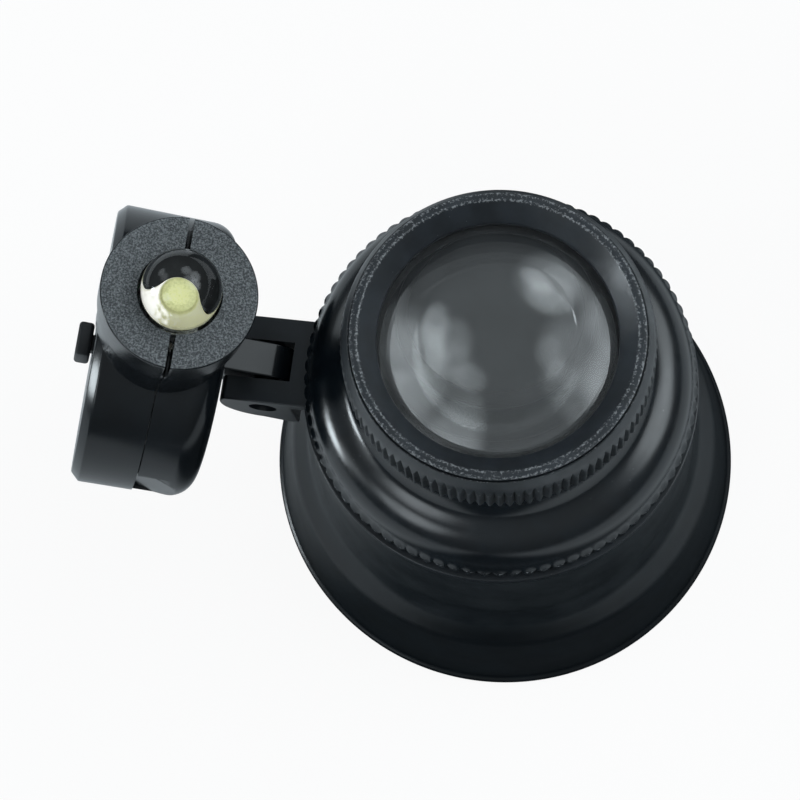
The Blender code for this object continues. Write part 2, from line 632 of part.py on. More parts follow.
def build_cells(group, cutters, drum_centre, tilt):
    """Two coin cells stacked on the drum's axis, and the contact under them."""
    for name, top in (("battery_cell_inner", CELL_INNER_FACE), ("battery_cell_outer", 0.95)):
        low = top - CELL_THICKNESS
        crimp = 0.25
        profile = [
            (0.0, top), (CELL_RADIUS - 1.2, top), (CELL_RADIUS - 1.2, top - crimp),
            (CELL_RADIUS, top - crimp), (CELL_RADIUS, low), (0.0, low),
        ]
        piece = turned(name, profile, group, 36, closed=False, parent=tilt, location=drum_centre)
        piece.rotation_euler = (0.0, math.pi / 2, 0.0)
        finish(piece, principled(name + "_steel", (0.7, 0.7, 0.7), 0.22, 1.0))
    near = CELL_INNER_FACE + 0.1
    leaf_mesh = contact_leaf("negative_contact", near + CONTACT_THICKNESS / 2, cutters)
    leaf = add_object("negative_contact", leaf_mesh, group, tilt, drum_centre)
    finish(leaf, principled("negative_nickel", (0.6, 0.58, 0.52), 0.28, 1.0))


def build_switch_knob(group, cutters, drum_centre, cover):
    """The little sliding block on the drum's outer face, with its stem through the slot."""
    rest = -KNOB_TRAVEL / 2
    face = -DRUM_OUTER - REST_GAP
    low = (face - KNOB_HEIGHT, -KNOB_HALF_WIDTH, rest - KNOB_HALF_LENGTH)
    high = (face, KNOB_HALF_WIDTH, rest + KNOB_HALF_LENGTH)
    knob = block("switch_knob", low, high, group, cover, drum_centre)
    bevel = knob.modifiers.new("chamfer", "BEVEL")
    bevel.width = KNOB_BEVEL * MM
    bevel.segments = 1
    stem_low = (face - 0.5, -STEM_HALF_WIDTH, rest - STEM_HALF_LENGTH)
    stem_high = (-POCKET_OUTER + 0.05, STEM_HALF_WIDTH, rest + STEM_HALF_LENGTH)
    stem = block("knob_stem", stem_low, stem_high, cutters, cover, drum_centre)
    boolean(knob, "UNION", make_cutter(stem))
    finish(knob, principled("knob_plastic", (0.02, 0.02, 0.022), 0.35))


def lamp_reach():
    """How far the corner of the drum's outer face stands from the optical axis."""
    tilt = math.radians(LAMP_TILT_DEG)
    out = PIVOT_IN_LAMP_X + DRUM_OUTER
    down = PIVOT_IN_LAMP_Z + DRUM_RADIUS - DRUM_CHAMFER
    return -PIVOT_X + out * math.cos(tilt) + down * math.sin(tilt)


def main():
    clear_scene()
    group = new_collection("jewelers_loupe")
    cutters = new_collection("cutters")
    loupe = add_axis("optical_axis", group, None, ((lamp_reach() - CUP_RIM_RADIUS) / 2, 0, 0))
    swivel = add_axis("swivel_axis", group, loupe, (0, 0, 0))
    tilt = add_axis("tilt_axis", group, swivel, (PIVOT_X, 0, PIVOT_Z), LAMP_TILT_DEG)
    cover = add_axis("cover_axis", group, tilt, (0, 0, 0))
    drum_centre = (-PIVOT_IN_LAMP_X, 0.0, -PIVOT_IN_LAMP_Z)

    build_eye_cup(group)
    build_clamp_ring(group)
    build_lens_barrel(group)
    build_optics(group)
    build_bracket(group, cutters, swivel)
    build_inner_shell(group, cutters, drum_centre, tilt)
    build_outer_shell(group, cutters, drum_centre, tilt, cover)
    build_led(group, drum_centre, cover)
    build_circuit(group, cutters, drum_centre, cover)
    build_cells(group, cutters, drum_centre, tilt)
    build_switch_knob(group, cutters, drum_centre, cover)
    for piece in group.objects:
        if piece.parent is None and piece is not loupe:
            piece.parent = loupe


main()
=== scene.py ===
"""Looks for the jeweller's loupe: fine meshes, procedural materials, light and camera.

Sizes are in millimetres. Turned pieces of the loupe stand on its optical axis. Pieces of the
lamp are made in the lamp's own frame: Z along the lamp, X from the battery drum to the loupe.
"""

import json
import math

import bmesh
import bpy
from mathutils import Matrix, Vector


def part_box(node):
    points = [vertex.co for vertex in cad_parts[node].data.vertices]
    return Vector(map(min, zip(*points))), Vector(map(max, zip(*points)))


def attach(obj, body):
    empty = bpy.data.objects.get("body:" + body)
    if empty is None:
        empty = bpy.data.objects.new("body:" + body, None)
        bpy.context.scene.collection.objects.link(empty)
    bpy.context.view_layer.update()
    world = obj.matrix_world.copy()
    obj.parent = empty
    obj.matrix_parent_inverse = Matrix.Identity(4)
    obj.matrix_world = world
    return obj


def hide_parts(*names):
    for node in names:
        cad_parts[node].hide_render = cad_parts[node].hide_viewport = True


MM = 0.001
FULL_TURN = 2.0 * math.pi
FINE_STEPS = 256

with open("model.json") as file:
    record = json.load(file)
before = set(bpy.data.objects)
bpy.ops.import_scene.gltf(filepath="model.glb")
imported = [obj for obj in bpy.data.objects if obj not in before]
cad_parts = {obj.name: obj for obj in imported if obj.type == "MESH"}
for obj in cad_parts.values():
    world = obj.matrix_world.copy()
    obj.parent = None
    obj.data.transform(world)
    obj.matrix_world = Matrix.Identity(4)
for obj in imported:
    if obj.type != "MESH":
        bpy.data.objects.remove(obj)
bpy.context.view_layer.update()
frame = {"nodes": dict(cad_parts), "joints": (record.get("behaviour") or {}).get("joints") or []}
joints = {joint["name"]: joint for joint in frame["joints"]}


def turned_size(node):
    """The lowest height, highest height and radius, in millimetres, of a piece round the axis."""
    low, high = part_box(node)
    return low.z / MM, high.z / MM, high.y / MM


# Where the CAD frame puts things
cup_low, cup_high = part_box("eye_cup")
AXIS_X = (cup_low.x + cup_high.x) / 2.0
LOUPE = Matrix.Translation((AXIS_X, 0.0, 0.0))
PIVOT = Vector(joints["lamp_tilt"]["pos_m"])
LAMP_Z = Vector(joints["switch_slide"]["axis"]).normalized()
LAMP_TILT = math.atan2(LAMP_Z.x, LAMP_Z.z)

# Loupe sizes. Heights are above the eye cup's rim
CUP_RADIUS = (cup_high.x - cup_low.x) / 2.0 / MM
NECK_TOP = cup_high.z / MM
CLAMP_LOW, CLAMP_HIGH, CLAMP_RADIUS = turned_size("clamp_ring")
BARREL_LOW, BARREL_HIGH, BARREL_RADIUS = turned_size("lens_barrel")
RIM_LOW, RIM_HIGH, RIM_RADIUS = turned_size("front_retaining_ring")
LENS_RADIUS = turned_size("front_lens")[2]
LENS_CURVE = 20.0
CLEAR_RADIUS = 7.68
RIM_LIP_RADIUS = 8.8
SEAT_RADIUS = 9.4
SHOULDER_Z = 38.3
SHOULDER_RADIUS = 9.9
KNURL_TOP = 37.6
KNURL_TOP_RADIUS = 10.05
FINE_GROOVES = 100
GROOVE_DEPTH = 0.3
GROOVE_RUNOUT = 0.85
THREAD_PITCH = 0.75
COARSE_TEETH = 84
TOOTH_DEPTH = 0.34
TOOTH_TOP = 28.0
RING_LOW = 24.75
RING_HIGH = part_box("bracket_arm")[1].z / MM
ARM_HALF = 3.2
ARM_NOSE_RADIUS = 3.15
FORK_SLOT_HALF = 1.45
PIN_RADIUS = 0.95
PIN_HALF = 2.6
PIN_HOLE_RADIUS = 1.02

# Lamp sizes, measured in the lamp's frame from the drum's centre
DRUM_RADIUS = 10.2
DRUM_OUTER = 4.5
DRUM_INNER = 4.35
DRUM_CHAMFER = 0.6
POCKET_RADIUS = 8.4
POCKET_OUTER = 3.35
POCKET_INNER = 3.6
HEAD_TOP = 17.5
HEAD_RADIUS = 4.95
COLLAR_HEIGHT = 3.5
NECK_RADIUS = 4.75
NECK_BORE = 3.1
LAMP_HOLE = 2.68
PIVOT_X = DRUM_INNER + 3.74
PIVOT_Z = 2.44
TONGUE_RADIUS = 1.9
TONGUE_HALF = 1.25
SEAM_HALF = 0.04
SLIT_HALF = 0.17
NOTCH_LENGTH = 3.4
NOTCH_DEPTH = 0.8
NOTCH_HALF = 3.0
LED_RADIUS = 2.5
LED_FLANGE_RADIUS = 2.88
LED_FOOT = HEAD_TOP - 5.1
LED_STRAIGHT_TOP = HEAD_TOP + 0.9
EMITTER_LOW = HEAD_TOP - 2.85
EMITTER_HIGH = HEAD_TOP + 0.08
PHOSPHOR_RADIUS = 0.66
PHOSPHOR_DEPTH = 1.28
KNOB_FACE = -DRUM_OUTER - 0.15
KNOB_HEIGHT = 1.1
KNOB_HALF_WIDTH = 1.25
KNOB_HALF_LENGTH = 1.6
KNOB_MIDDLE = -1.0
CELL_RADIUS = 7.98
CELL_THICK = 2.0
LAMP = (
    Matrix.Translation(PIVOT)
    @ Matrix.Rotation(LAMP_TILT, 4, "Y")
    @ Matrix.Translation((-PIVOT_X * MM, 0.0, -PIVOT_Z * MM))
)
ALONG_PIN = Matrix.Translation(PIVOT) @ Matrix.Rotation(math.pi / 2, 4, "X")


# ---------------------------------------------------------------- shader helpers


class Shader:
    """A material under construction, with short calls for the nodes used here."""

    def __init__(self, name):
        self.material = bpy.data.materials.new(name)
        self.material.use_nodes = True
        self.nodes = self.material.node_tree.nodes
        self.links = self.material.node_tree.links
        self.surface = self.nodes["Principled BSDF"]
        self.coords = self.nodes.new("ShaderNodeTexCoord").outputs["Object"]

    def set(self, **values):
        for key, value in values.items():
            self.plug(value, self.surface.inputs[key.replace("_", " ")])

    def plug(self, value, socket):
        """Links a node output, or sets a plain value."""
        if isinstance(value, bpy.types.NodeSocket):
            self.links.new(value, socket)
        elif isinstance(value, (tuple, list)) and len(value) == 3 and socket.type == "RGBA":
            socket.default_value = (*value, 1.0)
        else:
            socket.default_value = value

    def math(self, operation, first, second=0.0, clamp=False):
        node = self.nodes.new("ShaderNodeMath")
        node.operation = operation
        node.use_clamp = clamp
        self.plug(first, node.inputs[0])
        self.plug(second, node.inputs[1])
        return node.outputs[0]

    def scaled(self, factor):
        """Object coordinates in units of 1/factor metres, stretched by axis if a tuple."""
        node = self.nodes.new("ShaderNodeVectorMath")
        node.operation = "MULTIPLY"
        self.links.new(self.coords, node.inputs[0])
        node.inputs[1].default_value = factor if isinstance(factor, tuple) else (factor,) * 3
        return node.outputs[0]

    def noise(self, per_mm, detail=4.0, rough=0.55, vector=None):
        """Noise with about this many features to the millimetre."""
        node = self.nodes.new("ShaderNodeTexNoise")
        node.inputs["Scale"].default_value = 1.0
        node.inputs["Detail"].default_value = detail
        node.inputs["Roughness"].default_value = rough
        self.links.new(vector or self.scaled(per_mm / MM), node.inputs["Vector"])
        return node.outputs[0]

    def cells(self, per_mm):
        """Distance to the nearest of scattered points, about this many to the millimetre."""
        node = self.nodes.new("ShaderNodeTexVoronoi")
        node.inputs["Scale"].default_value = 1.0
        self.links.new(self.scaled(per_mm / MM), node.inputs["Vector"])
        return node.outputs["Distance"]

    def ramp(self, value, low, high, out_low=0.0, out_high=1.0):
        """Maps low..high to out_low..out_high, with flat ends."""
        node = self.nodes.new("ShaderNodeMapRange")
        node.interpolation_type = "SMOOTHSTEP"
        self.plug(value, node.inputs["Value"])
        node.inputs["From Min"].default_value = low
        node.inputs["From Max"].default_value = high
        node.inputs["To Min"].default_value = out_low
        node.inputs["To Max"].default_value = out_high
        return node.outputs["Result"]

    def mix(self, share, first, second):
        node = self.nodes.new("ShaderNodeMix")
        node.data_type = "RGBA"
        self.plug(share, node.inputs["Factor"])
        self.plug(first, node.inputs["A"])
        self.plug(second, node.inputs["B"])
        return node.outputs["Result"]

    def axis(self, index):
        """One object coordinate, in millimetres."""
        node = self.nodes.new("ShaderNodeSeparateXYZ")
        self.links.new(self.coords, node.inputs[0])
        return self.math("MULTIPLY", node.outputs[index], 1.0 / MM)

    def radius(self):
        """Distance from the object's Z axis, in millimetres."""
        x, y = self.axis(0), self.axis(1)
        return self.math("SQRT", self.math("ADD", self.math("POWER", x, 2.0), self.math("POWER", y, 2.0)))

    def band(self, value, centre, half_width):
        """1 at the centre, falling to 0 at the half width."""
        away = self.math("ABSOLUTE", self.math("SUBTRACT", value, centre))
        return self.ramp(away, 0.0, half_width, 1.0, 0.0)

    def bump(self, height, depth_mm, strength=1.0):
        node = self.nodes.new("ShaderNodeBump")
        node.inputs["Strength"].default_value = strength
        node.inputs["Distance"].default_value = depth_mm * MM
        self.links.new(height, node.inputs["Height"])
        self.links.new(node.outputs[0], self.surface.inputs["Normal"])


def moulded_plastic(name, colour, rough, grain_mm=0.004, dust=0.5, shine=0.5, dust_film_and_painted_sheen=None):
    """Black moulded plastic: faint flow marks, fine grain, and specks of pale dust.

    With a painted sheen of (inner radius, outer radius, colour), a lighter grey band that stands in for
    reflected light fades out between the radii.
    """
    look = Shader(name)
    cloud = look.noise(0.25, 3.0)
    grain = look.noise(9.0, 3.0)
    lighter = tuple(1.7 * c for c in colour)
    body = look.mix(look.ramp(cloud, 0.35, 0.7), colour, lighter)
    if dust_film_and_painted_sheen:
        # Painted sheen: lighter grey inside the inner radius, fading out by the outer radius
        painted_sheen = look.ramp(look.radius(), dust_film_and_painted_sheen[0], dust_film_and_painted_sheen[1], 1.0, 0.0)
        body = look.mix(painted_sheen, body, look.mix(look.ramp(cloud, 0.3, 0.7), dust_film_and_painted_sheen[2], lighter))
    specks = look.ramp(look.cells(1.6), 0.045, 0.02)
    patches = look.ramp(look.noise(0.35, 2.0), 0.48, 0.62)
    dusty = look.math("MULTIPLY", look.math("MULTIPLY", specks, patches), dust)
    look.set(Base_Color=look.mix(dusty, body, (0.42, 0.42, 0.4)))
    uneven = look.ramp(look.noise(0.4, 2.0), 0.3, 0.75, rough * 0.92, rough * 1.1)
    look.set(Roughness=look.math("ADD", uneven, look.math("MULTIPLY", dusty, 0.4)), IOR=1.5)
    look.set(Specular_IOR_Level=shine)
    look.bump(grain, grain_mm)
    return look.material


def anodised_metal(name, colour, rough, edges):
    """Black anodised metal with turning marks, rubbed pale at the edges given.

    Each edge is (radius, height, reach) in millimetres.
    """
    look = Shader(name)
    radius = look.radius()
    height = look.axis(2)
    rings = look.noise(1.0, 5.0, 0.6, look.scaled((600.0, 600.0, 22000.0)))
    chips = look.noise(6.5, 5.0, 0.75)
    fine = look.noise(14.0, 2.0)
    wear = None
    for edge_radius, edge_height, reach in edges:
        near = look.math(
            "MULTIPLY", look.band(radius, edge_radius, reach), look.band(height, edge_height, reach)
        )
        wear = near if wear is None else look.math("MAXIMUM", wear, near)
    lighter = tuple(1.7 * c for c in colour)
    body = look.mix(look.ramp(look.noise(0.5, 4.0), 0.35, 0.7), colour, lighter)
    if wear is not None:
        ragged = look.math("ADD", wear, look.math("MULTIPLY", look.math("SUBTRACT", chips, 0.5), 3.4))
        worn = look.ramp(ragged, 0.98, 1.2, 0.0, 0.85)
        bare_metal = (0.27, 0.28, 0.29)
        body = look.mix(worn, body, bare_metal)
    specks = look.ramp(look.cells(2.2), 0.05, 0.02)
    patches = look.ramp(look.noise(0.4, 2.0), 0.5, 0.62)
    body = look.mix(look.math("MULTIPLY", specks, patches), body, (0.3, 0.3, 0.3))
    look.set(Base_Color=body, Specular_IOR_Level=0.55, IOR=1.55)
    look.set(Roughness=look.ramp(look.noise(0.8, 4.0), 0.3, 0.75, rough * 0.85, rough * 1.2))
    look.bump(look.math("ADD", look.math("MULTIPLY", rings, 0.5), fine), 0.004)
    return look.material


def sparked_face(name):
    """The lamp's spark-eroded face: dark grey with a fine sparkling grain."""
    look = Shader(name)
    coarse = look.noise(8.5, 4.0, 0.78)
    fine = look.noise(18.0, 3.0, 0.6)
    body = look.mix(look.ramp(coarse, 0.42, 0.64), (0.045, 0.051, 0.055), (0.27, 0.285, 0.295))
    look.set(Base_Color=body, Roughness=look.ramp(fine, 0.3, 0.7, 0.34, 0.5))
    look.bump(look.math("ADD", coarse, look.math("MULTIPLY", fine, 0.6)), 0.07)
    return look.material


def clear_material(name, colour, index, smudge, haze=0.0, shine=0.5):
    """Polished clear glass or resin with faint smudges and a thin layer of dust."""
    look = Shader(name)
    marks = look.ramp(look.noise(0.22, 5.0, 0.65), 0.52, 0.75, 0.0, smudge)
    look.set(Base_Color=look.mix(marks, colour, tuple(0.97 * c for c in colour)))
    look.set(Roughness=marks, IOR=index, Transmission_Weight=1.0, Specular_IOR_Level=shine)
    if haze:
        dust_film_and_painted_sheen = look.nodes.new("ShaderNodeBsdfDiffuse")
        dust_film_and_painted_sheen.inputs["Color"].default_value = (0.62, 0.65, 0.68, 1.0)
        blend = look.nodes.new("ShaderNodeMixShader")
        specks = look.ramp(look.cells(2.4), 0.05, 0.02, 0.0, 0.25)
        patches = look.ramp(look.noise(0.5, 3.0), 0.5, 0.62)
        film_share = look.ramp(look.noise(0.3, 3.0), 0.3, 0.75, 0.75 * haze, 1.3 * haze)
        look.plug(look.math("ADD", film_share, look.math("MULTIPLY", specks, patches)), blend.inputs[0])
        look.links.new(look.surface.outputs[0], blend.inputs[1])
        look.links.new(dust_film_and_painted_sheen.outputs[0], blend.inputs[2])
        look.links.new(blend.outputs[0], look.nodes["Material Output"].inputs["Surface"])
    return look.material


def brushed_metal(name, colour, rough, across=(3000.0, 26000.0, 3000.0)):
    """Bare metal with fine brush lines and a little tarnish."""
    look = Shader(name)
    lines = look.noise(1.0, 4.0, 0.6, look.scaled(across))
    stain = look.noise(0.45, 4.0)
    darker = tuple(0.72 * c for c in colour)
    look.set(Base_Color=look.mix(look.ramp(stain, 0.4, 0.7), colour, darker), Metallic=1.0)
    look.set(Roughness=look.ramp(lines, 0.3, 0.7, rough * 0.7, rough * 1.3))
    look.bump(lines, 0.002)
    return look.material


def board_material():
    """Green solder mask with copper tracks showing through and scattered plated pads."""
    look = Shader("board_look")
    wave = look.nodes.new("ShaderNodeTexWave")
    wave.wave_type = "BANDS"
    wave.bands_direction = "Y"
    wave.inputs["Scale"].default_value = 1.0
    wave.inputs["Distortion"].default_value = 1.6
    wave.inputs["Detail"].default_value = 1.0
    look.links.new(look.scaled(320.0), wave.inputs["Vector"])
    tracks = look.ramp(wave.outputs[1], 0.78, 0.84)
    mask = look.mix(tracks, (0.008, 0.07, 0.025), (0.03, 0.17, 0.06))
    pads = look.ramp(look.cells(0.42), 0.11, 0.09)
    look.set(Base_Color=look.mix(pads, mask, (0.78, 0.62, 0.3)), Metallic=pads)
    look.set(Roughness=look.ramp(look.noise(2.0), 0.3, 0.7, 0.25, 0.4))
    look.bump(look.math("ADD", tracks, pads), 0.02)
    return look.material


def phosphor_material():
    """Pale yellow phosphor in clear gel with a milky wall, whitest on one side in a painted highlight. Its
    glow is painted light, standing in for the room light that the phosphor catches.
    """
    look = Shader("phosphor_look")
    grain = look.noise(12.0, 4.0)
    middle = look.ramp(look.radius(), 0.2, 0.5, 0.12, 0.0)
    wall = look.ramp(look.radius(), 0.6, 0.66)
    # Painted highlight: the wall turns white on its -X side
    cloudy = look.math("MULTIPLY", look.noise(4.0, 4.0, 0.75), 2.2)
    patchy = look.math("ADD", look.axis(0), cloudy)
    white = look.math("MULTIPLY", look.ramp(patchy, 1.05, 0.5), wall)
    yellow = look.mix(look.ramp(grain, 0.3, 0.7), (0.72, 0.72, 0.3), (0.86, 0.85, 0.42))
    milky = look.mix(look.math("MULTIPLY", wall, 0.7), yellow, (0.9, 0.9, 0.62))
    colour = look.mix(white, milky, (0.95, 0.95, 0.9))
    look.set(Base_Color=colour, Roughness=0.35, Emission_Color=colour)
    # Painted light: the glow is strongest in the middle, at the wall and at the painted highlight
    glow = look.math("ADD", middle, look.math("MULTIPLY", wall, 0.2))
    glow = look.math("ADD", glow, look.math("MULTIPLY", white, 0.6))
    look.set(Emission_Strength=look.math("ADD", glow, 0.22))
    look.bump(grain, 0.01)
    return look.material


# ---------------------------------------------------------------- mesh helpers


def arc(centre, radius, start_deg, end_deg, count):
    span = end_deg - start_deg
    angles = [math.radians(start_deg + span * i / count) for i in range(count + 1)]
    return [(centre[0] + radius * math.cos(a), centre[1] + radius * math.sin(a)) for a in angles]


def rounded(points, radius, closed=True, count=4):
    """The outline with each corner replaced by a small curve that starts radius away from it."""
    result = []
    last = len(points) - 1
    for i, point in enumerate(points):
        if not closed and i in (0, last):
            result.append(point)
            continue
        before = Vector(points[i - 1])
        here = Vector(point)
        after = Vector(points[(i + 1) % len(points)])
        reach = min(radius, (before - here).length * 0.45, (after - here).length * 0.45)
        start = here + (before - here).normalized() * reach
        end = here + (after - here).normalized() * reach
        for k in range(count + 1):
            t = k / count
            spot = start * (1 - t) ** 2 + here * 2 * t * (1 - t) + end * t**2
            result.append((spot.x, spot.y))
    return result


def new_piece(name, mesh, place):
    piece = bpy.data.objects.new(name, mesh)
    bpy.context.scene.collection.objects.link(piece)
    piece.matrix_world = place
    return piece


def lathe_mesh(name, profile, steps, closed=True, shape=None):
    """Turns a profile of (radius, height) points. shape(radius, height, turn) may move a radius."""
    work = bmesh.new()
    columns = []
    for step in range(steps):
        turn = step / steps
        angle = turn * FULL_TURN
        column = []
        for radius, height in profile:
            if radius < 1e-6 and step:
                column.append(columns[0][len(column)])
                continue
            reach = shape(radius, height, turn) if shape else radius
            spot = (reach * math.cos(angle) * MM, reach * math.sin(angle) * MM, height * MM)
            column.append(work.verts.new(spot))
        columns.append(column)
    count = len(profile)
    pairs = [(i, (i + 1) % count) for i in range(count if closed else count - 1)]
    for step in range(steps):
        left = columns[step]
        right = columns[(step + 1) % steps]
        for i, j in pairs:
            corners = [left[i], left[j], right[j], right[i]]
            distinct = [corners[k] for k in range(4) if corners[k] is not corners[k - 1]]
            if len(distinct) > 2:
                work.faces.new(distinct)
    bmesh.ops.recalc_face_normals(work, faces=work.faces)
    mesh = bpy.data.meshes.new(name)
    work.to_mesh(mesh)
    work.free()
    return mesh


def smooth(piece, sharp_deg=35.0):
    piece.data.shade_smooth()
    piece.data.set_sharp_from_angle(angle=math.radians(sharp_deg))


def turned(name, profile, place, steps=FINE_STEPS, closed=True, shape=None):
    piece = new_piece(name, lathe_mesh(name, profile, steps, closed, shape), place)
    smooth(piece)
    return piece


def box_piece(name, low, high, place, bevel=0.0):
    size = [(high[i] - low[i]) * MM for i in range(3)]
    centre = [(high[i] + low[i]) * MM / 2.0 for i in range(3)]
    work = bmesh.new()
    bmesh.ops.create_cube(
        work, size=1.0, matrix=Matrix.Translation(centre) @ Matrix.Diagonal((*size, 1.0))
    )
    if bevel:
        bmesh.ops.bevel(
            work, geom=work.edges[:], offset=bevel * MM, segments=3, profile=0.5, affect="EDGES",
        )
    mesh = bpy.data.meshes.new(name)
    work.to_mesh(mesh)
    work.free()
    piece = new_piece(name, mesh, place)
    smooth(piece)
    return piece


def prism_mesh(name, outline, half, axis="Z", bevel=0.0):
    """A flat outline given a thickness along Z, or along Y with the outline in X and Z."""
    work = bmesh.new()
    low = [work.verts.new((x * MM, y * MM, -half * MM)) for x, y in outline]
    face = work.faces.new(low)
    lifted = bmesh.ops.extrude_face_region(work, geom=[face])
    top = [part for part in lifted["geom"] if isinstance(part, bmesh.types.BMVert)]
    bmesh.ops.translate(work, verts=top, vec=(0.0, 0.0, 2 * half * MM))
    bmesh.ops.recalc_face_normals(work, faces=work.faces)
    if bevel:
        rims = [e for e in work.edges if len(e.link_faces) == 2 and e.calc_face_angle(0) > 0.9]
        bmesh.ops.bevel(work, geom=rims, offset=bevel * MM, segments=3, profile=0.5, affect="EDGES")
    if axis == "Y":
        bmesh.ops.rotate(work, verts=work.verts, cent=(0, 0, 0), matrix=Matrix.Rotation(math.pi / 2, 3, "X"))
    mesh = bpy.data.meshes.new(name)
    work.to_mesh(mesh)
    work.free()
    return mesh


def cut(piece, *steps):
    """Applies Boolean steps of (operation, other piece), then removes the other pieces."""
    for operation, other in steps:
        modifier = piece.modifiers.new(operation, "BOOLEAN")
        modifier.operation = operation
        modifier.object = other
    bake(piece)
    for other in {id(step[1]): step[1] for step in steps}.values():
        bpy.data.objects.remove(other, do_unlink=True)
    smooth(piece)
    return piece


def bake(piece):
    """Replaces a piece's mesh by the mesh its modifiers give."""
    bpy.context.view_layer.update()
    evaluated = piece.evaluated_get(bpy.context.evaluated_depsgraph_get())
    mesh = bpy.data.meshes.new_from_object(evaluated)
    piece.modifiers.clear()
    piece.data = mesh


def soften(piece, width, angle_deg=40.0):
    """Rounds the edges that are sharper than the angle, and keeps the shading of flat faces flat."""
    modifier = piece.modifiers.new("soften", "BEVEL")
    modifier.width = width * MM
    modifier.segments = 2
    modifier.limit_method = "ANGLE"
    modifier.angle_limit = math.radians(angle_deg)
    modifier.use_clamp_overlap = True
    bake(piece)
    smooth(piece, 30.0)
    flats = piece.modifiers.new("flats", "WEIGHTED_NORMAL")
    flats.keep_sharp = True
    flats.weight = 100
    bake(piece)


def stands_for(piece, body, node, slot, *materials):
    """The piece rides on the body, takes the node's place and wears the materials."""
    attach(piece, body)
    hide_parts(node)
    for material in materials:
        piece.data.materials.append(material)


# ---------------------------------------------------------------- the loupe


def make_eye_cup():
    outer = [
        (11.3, NECK_TOP), (11.3, 24.6), (13.9, 24.6), (14.5, 18.3), (15.0, 13.8), (15.6, 11.5),
        (17.2, 9.4), (18.3, 5.0), (19.2, 1.3), (CUP_RADIUS - 0.02, 1.05), (CUP_RADIUS - 0.02, 0.0),
    ]
    inner = [
        (CUP_RADIUS - 1.45, 0.0), (16.9, 5.0), (15.8, 9.2), (14.2, 11.0), (13.6, 13.6), (13.05, 18.3),
        (12.45, 23.0), (9.9, 23.2), (9.9, NECK_TOP),
    ]
    cup = turned("eye_cup_fine", rounded(outer + inner, 0.55), LOUPE, FINE_STEPS)
    # Painted sheen: a lighter grey band on the cup's narrower upper part stands in for reflected light
    painted_sheen = (15.3, 16.6, (0.018, 0.022, 0.025))
    plastic = moulded_plastic("cup_look", (0.0022, 0.0038, 0.0052), 0.3, 0.0015, 0.3, 0.42, painted_sheen)
    stands_for(cup, "eye_cup_body", "eye_cup", "cup_plastic", plastic)


def coarse_tooth(radius, height, turn):
    """Rounded ridges with narrow valleys round the clamp ring's rim."""
    if radius < CLAMP_RADIUS - 0.45 or height > TOOTH_TOP:
        return radius
    phase = (turn * COARSE_TEETH) % 1.0
    valley = 1.0 - abs(math.sin(phase * math.pi)) ** 0.7
    fade = min(1.0, (TOOTH_TOP - height) / 0.5)
    return radius - TOOTH_DEPTH * valley * fade


def make_clamp_ring():
    shoulder = arc((10.35, 28.05), 2.95, 74.0, 8.0, 16)
    collar = rounded([(9.6, CLAMP_HIGH), (9.6, 33.2), (9.85, 32.2), (10.4, 31.3), shoulder[0]], 0.5, False)
    band_top = TOOTH_TOP - 0.28
    band = [(CLAMP_RADIUS - 0.3, TOOTH_TOP), (CLAMP_RADIUS - 0.02, band_top)]
    band += [(CLAMP_RADIUS - 0.01, band_top - 0.25 * i) for i in range(1, 6)]
    band += [(CLAMP_RADIUS - 0.14, CLAMP_LOW + 0.1), (CLAMP_RADIUS - 0.4, CLAMP_LOW)]
    inner = [(11.45, CLAMP_LOW), (11.45, 29.2), (8.95, 29.2), (8.95, CLAMP_HIGH)]
    profile = collar[:-1] + shoulder + band + inner
    ring = turned("clamp_ring_fine", profile, LOUPE, COARSE_TEETH * 8, True, coarse_tooth)
    edges = [(CLAMP_RADIUS, 27.7, 0.25), (CLAMP_RADIUS, CLAMP_LOW + 0.1, 0.25)]
    metal = anodised_metal("clamp_look", (0.0032, 0.0052, 0.0072), 0.19, edges)
    stands_for(ring, "clamp_ring_body", "clamp_ring", "clamp_metal", metal)


def fine_groove(radius, height, turn):
    """Straight V grooves that rise and run out to points on the sloping shoulder."""
    if radius < KNURL_TOP_RADIUS - 0.2 or height > SHOULDER_Z:
        return radius
    phase = (turn * FINE_GROOVES) % 1.0
    depth = GROOVE_DEPTH * min(1.0, (SHOULDER_Z - height) / GROOVE_RUNOUT)
    from_middle = abs(phase - 0.5) * 2.0
    return radius - max(0.0, depth - from_middle * 1.2 * GROOVE_DEPTH)


def along(start, end, count):
    """Points that step evenly from start to end, without start itself."""
    first, last = Vector(start), Vector(end)
    return [tuple(first.lerp(last, i / count)) for i in range(1, count + 1)]


